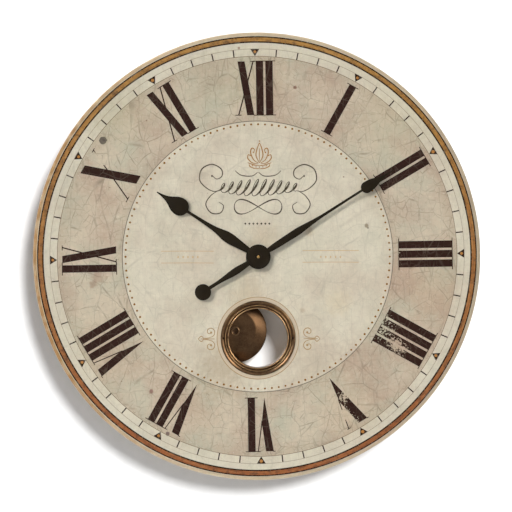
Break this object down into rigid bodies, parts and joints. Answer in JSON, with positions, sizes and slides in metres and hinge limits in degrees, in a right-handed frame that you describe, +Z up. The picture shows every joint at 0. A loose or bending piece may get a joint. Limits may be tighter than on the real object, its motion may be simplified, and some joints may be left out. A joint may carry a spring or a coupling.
{
  "type": "pendulum wall clock",
  "caption": "Round wall clock with an aged printed dial, spade hands, a brass-rimmed window with a swinging bob behind it, a spacer ring and a quartz movement.",
  "frame": {"origin": "on the wall plane, behind the arbor that the hands turn on", "axes": "+Z up, +Y from the clock into the wall, +X to the right for someone who reads the dial"},
  "size_m": [0.5841, 0.053, 0.5842],
  "materials": {
    "ring_board": "painted fibreboard",
    "panel_board": "fibreboard with a lacquered edge",
    "printed_face": "aged print under matt lacquer",
    "aged_brass": "aged, brushed and lacquered",
    "clean_brass": "turned",
    "zinc_screws": "yellow zinc plated",
    "zinc_plate": "zinc plated sheet",
    "case_plastic": "moulded, fine texture",
    "inner_plastic": "moulded acetal",
    "gasket_rubber": "moulded",
    "board_green": "solder mask",
    "chip_resin": "cast resin",
    "nickel_steel": "nickel plated",
    "copper_wire": "enamelled copper winding",
    "battery_wrap": "plastic sleeve",
    "black_hands": "matt black lacquer",
    "rotor_magnet": "sintered magnet"
  },
  "bodies": {
    "root": {"back_ring": "ring_board", "ring_screws": "zinc_screws", "hanger_plate": "zinc_plate", "hanger_screws": "zinc_screws", "dial_panel": "panel_board", "dial_face": "printed_face", "window_rim": "aged_brass", "rim_pins": "aged_brass", "movement_case": "case_plastic", "movement_cover": "case_plastic", "train_plate": "inner_plastic", "threaded_bushing": "clean_brass", "rubber_gasket": "gasket_rubber", "dial_washer": "clean_brass", "hex_nut": "clean_brass", "circuit_board": "board_green", "quartz_crystal": "nickel_steel", "controller_chip": "chip_resin", "motor_coil": "copper_wire", "motor_stator": "nickel_steel", "battery": "battery_wrap", "battery_contact_plus": "nickel_steel", "battery_contact_minus": "nickel_steel", "pendulum_coil": "copper_wire", "yoke_pin": "nickel_steel"},
    "minute": {"minute_arbor": "clean_brass", "centre_wheel": "inner_plastic", "minute_hand": "black_hands", "hand_nut": "black_hands"},
    "hour": {"hour_wheel": "inner_plastic", "hour_hand": "black_hands", "hour_collet": "clean_brass"},
    "motion": {"motion_wheel": "inner_plastic"},
    "third": {"third_wheel": "inner_plastic"},
    "seconds": {"seconds_wheel": "inner_plastic"},
    "intermediate": {"intermediate_wheel": "inner_plastic"},
    "rotor": {"rotor": "rotor_magnet"},
    "knob": {"setting_knob": "case_plastic"},
    "pendulum": {"pendulum_yoke": "inner_plastic", "yoke_magnet": "rotor_magnet", "pendulum_rod": "clean_brass", "pendulum_bob": "aged_brass", "bob_boss": "aged_brass"}
  },
  "joints": [
    {"name": "minute_turn", "type": "hinge", "parent": "root", "child": "minute", "pos_m": [0, 0, 0], "axis": [0, 1, 0], "continuous": true},
    {"name": "hour_turn", "type": "hinge", "parent": "root", "child": "hour", "pos_m": [0, 0, 0], "axis": [0, 1, 0], "continuous": true},
    {"name": "motion_turn", "type": "hinge", "parent": "root", "child": "motion", "pos_m": [-0.01128, 0, -0.0041], "axis": [0, 1, 0], "continuous": true},
    {"name": "third_turn", "type": "hinge", "parent": "root", "child": "third", "pos_m": [0.00595, 0, -0.01031], "axis": [0, 1, 0], "continuous": true},
    {"name": "seconds_turn", "type": "hinge", "parent": "root", "child": "seconds", "pos_m": [0.01481, 0, -0.01187], "axis": [0, 1, 0], "continuous": true},
    {"name": "intermediate_turn", "type": "hinge", "parent": "root", "child": "intermediate", "pos_m": [0.01603, 0, -0.01876], "axis": [0, 1, 0], "continuous": true},
    {"name": "rotor_turn", "type": "hinge", "parent": "root", "child": "rotor", "pos_m": [0.01398, 0, -0.0244], "axis": [0, 1, 0], "continuous": true},
    {"name": "knob_turn", "type": "hinge", "parent": "root", "child": "knob", "pos_m": [-0.02215, 0, -0.00918], "axis": [0, 1, 0], "continuous": true},
    {"name": "pendulum_swing", "type": "hinge", "parent": "root", "child": "pendulum", "pos_m": [0, 0, -0.01944], "axis": [0, -1, 0], "range_deg": [0, 40.68]}
  ],
  "couplings": [
    {"joint": "hour_turn", "follows": "minute_turn", "ratio": 0.083333},
    {"joint": "motion_turn", "follows": "minute_turn", "ratio": -0.33333},
    {"joint": "third_turn", "follows": "minute_turn", "ratio": -7.5},
    {"joint": "seconds_turn", "follows": "minute_turn", "ratio": 60},
    {"joint": "intermediate_turn", "follows": "minute_turn", "ratio": -360},
    {"joint": "knob_turn", "follows": "minute_turn", "ratio": 1}
  ]
}
